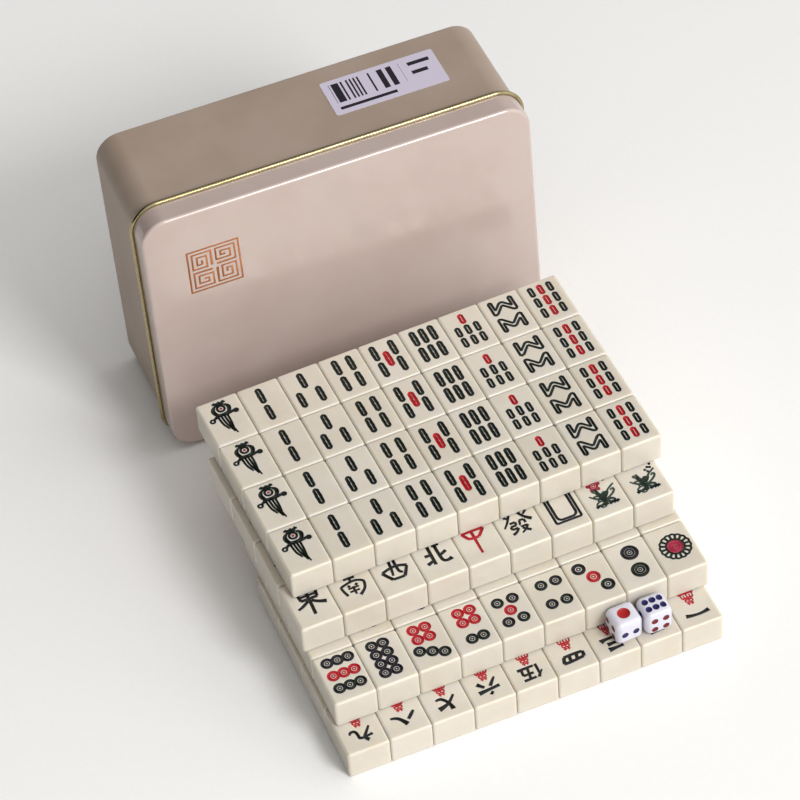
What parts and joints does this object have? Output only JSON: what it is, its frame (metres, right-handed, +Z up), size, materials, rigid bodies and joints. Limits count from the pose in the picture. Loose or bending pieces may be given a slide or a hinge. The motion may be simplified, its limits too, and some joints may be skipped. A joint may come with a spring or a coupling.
{
  "type": "mahjong case",
  "caption": "Small mahjong set: slip-lid tin standing on its side behind a stepped stack of engraved tiles, with its dice.",
  "frame": {"origin": "middle of the whole set's box, on the table", "axes": "+Z up; +Y from the stack of tiles back to the tin; +X along the tin, to the right as seen from the stack's front"},
  "size_m": [0.1434, 0.211, 0.1089],
  "materials": {
    "tin_body_lacquer": "satin",
    "lid_lacquer": "satin",
    "label_paper": "semi-gloss",
    "tile_ivory": "polished",
    "die_white": "polished"
  },
  "bodies": {
    "tin": {"tin_body": "tin_body_lacquer", "tin_base": "tin_body_lacquer", "tin_label": "label_paper"},
    "lid": {"tin_lid": "lid_lacquer"},
    "characters_layer": {"characters_9": "tile_ivory", "characters_8": "tile_ivory", "characters_7": "tile_ivory", "characters_6": "tile_ivory", "characters_5": "tile_ivory", "characters_4": "tile_ivory", "characters_3": "tile_ivory", "characters_2": "tile_ivory", "characters_1": "tile_ivory"},
    "dots_layer": {"dots_9": "tile_ivory", "dots_8": "tile_ivory", "dots_7": "tile_ivory", "dots_6": "tile_ivory", "dots_5": "tile_ivory", "dots_4": "tile_ivory", "dots_3": "tile_ivory", "dots_2": "tile_ivory", "dots_1": "tile_ivory"},
    "honours_layer": {"wind_east": "tile_ivory", "wind_south": "tile_ivory", "wind_west": "tile_ivory", "wind_north": "tile_ivory", "dragon_red": "tile_ivory", "dragon_green": "tile_ivory", "dragon_white": "tile_ivory", "flowers": "tile_ivory", "seasons": "tile_ivory"},
    "bamboo_1_column": {"bamboo_1": "tile_ivory"},
    "bamboo_2_column": {"bamboo_2": "tile_ivory"},
    "bamboo_3_column": {"bamboo_3": "tile_ivory"},
    "bamboo_4_column": {"bamboo_4": "tile_ivory"},
    "bamboo_5_column": {"bamboo_5": "tile_ivory"},
    "bamboo_6_column": {"bamboo_6": "tile_ivory"},
    "bamboo_7_column": {"bamboo_7": "tile_ivory"},
    "bamboo_8_column": {"bamboo_8": "tile_ivory"},
    "bamboo_9_column": {"bamboo_9": "tile_ivory"},
    "die_showing_one": {"die_one": "die_white"},
    "die_showing_six": {"die_six": "die_white"}
  },
  "joints": [
    {"name": "lid_pull", "type": "slide", "parent": "tin", "child": "lid", "axis": [0, -0.999, 0.045], "range_m": [0, 0.015]},
    {"name": "characters_lift", "type": "slide", "parent": "tin", "child": "characters_layer", "axis": [0, 0, 1], "range_m": [0, 0.03]},
    {"name": "dots_lift", "type": "slide", "parent": "characters_layer", "child": "dots_layer", "axis": [0, 0, 1], "range_m": [0, 0.025]},
    {"name": "honours_lift", "type": "slide", "parent": "dots_layer", "child": "honours_layer", "axis": [0, 0, 1], "range_m": [0, 0.025]},
    {"name": "bamboo_1_lift", "type": "slide", "parent": "honours_layer", "child": "bamboo_1_column", "axis": [0, 0, 1], "range_m": [0, 0.03]},
    {"name": "bamboo_2_lift", "type": "slide", "parent": "honours_layer", "child": "bamboo_2_column", "axis": [0, 0, 1], "range_m": [0, 0.03]},
    {"name": "bamboo_3_lift", "type": "slide", "parent": "honours_layer", "child": "bamboo_3_column", "axis": [0, 0, 1], "range_m": [0, 0.03]},
    {"name": "bamboo_4_lift", "type": "slide", "parent": "honours_layer", "child": "bamboo_4_column", "axis": [0, 0, 1], "range_m": [0, 0.03]},
    {"name": "bamboo_5_lift", "type": "slide", "parent": "honours_layer", "child": "bamboo_5_column", "axis": [0, 0, 1], "range_m": [0, 0.03]},
    {"name": "bamboo_6_lift", "type": "slide", "parent": "honours_layer", "child": "bamboo_6_column", "axis": [0, 0, 1], "range_m": [0, 0.03]},
    {"name": "bamboo_7_lift", "type": "slide", "parent": "honours_layer", "child": "bamboo_7_column", "axis": [0, 0, 1], "range_m": [0, 0.03]},
    {"name": "bamboo_8_lift", "type": "slide", "parent": "honours_layer", "child": "bamboo_8_column", "axis": [0, 0, 1], "range_m": [0, 0.03]},
    {"name": "bamboo_9_lift", "type": "slide", "parent": "honours_layer", "child": "bamboo_9_column", "axis": [0, 0, 1], "range_m": [0, 0.03]},
    {"name": "die_one_lift", "type": "slide", "parent": "characters_layer", "child": "die_showing_one", "axis": [0, 0, 1], "range_m": [0, 0.03]},
    {"name": "die_six_lift", "type": "slide", "parent": "characters_layer", "child": "die_showing_six", "axis": [0, 0, 1], "range_m": [0, 0.03]}
  ]
}
